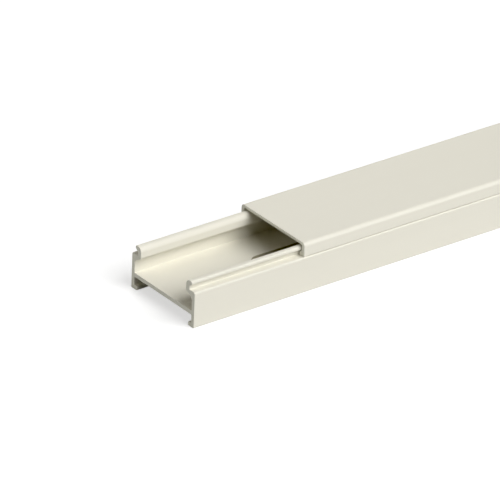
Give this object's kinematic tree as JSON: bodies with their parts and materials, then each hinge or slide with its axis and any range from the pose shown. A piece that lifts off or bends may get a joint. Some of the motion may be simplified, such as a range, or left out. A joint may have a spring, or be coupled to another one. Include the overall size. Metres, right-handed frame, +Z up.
{
  "type": "cable trunking",
  "caption": "Surface cable trunking in rigid PVC: a channel with snap rails, a raised slotted floor and feet, and a lid with hooked lips that slides along the rails.",
  "frame": {"origin": "middle of the part as it lies, on the plane of the feet's undersides, with the lid drawn back", "axes": "+X along the stock, from the front end that the lid leaves open towards the far end; +Y across the section; +Z up, from the feet to the lid"},
  "size_m": [2.039, 0.03, 0.016],
  "materials": {
    "base_pvc": "satin extruded PVC, warm off-white",
    "lid_pvc": "satin extruded PVC, warm off-white"
  },
  "bodies": {
    "base": {"base_channel": "base_pvc"},
    "cover": {"lid": "lid_pvc"}
  },
  "joints": [
    {"name": "lid_slide", "type": "slide", "parent": "base", "child": "cover", "axis": [1, 0, 0], "range_m": [-0.039, 0.961]}
  ]
}
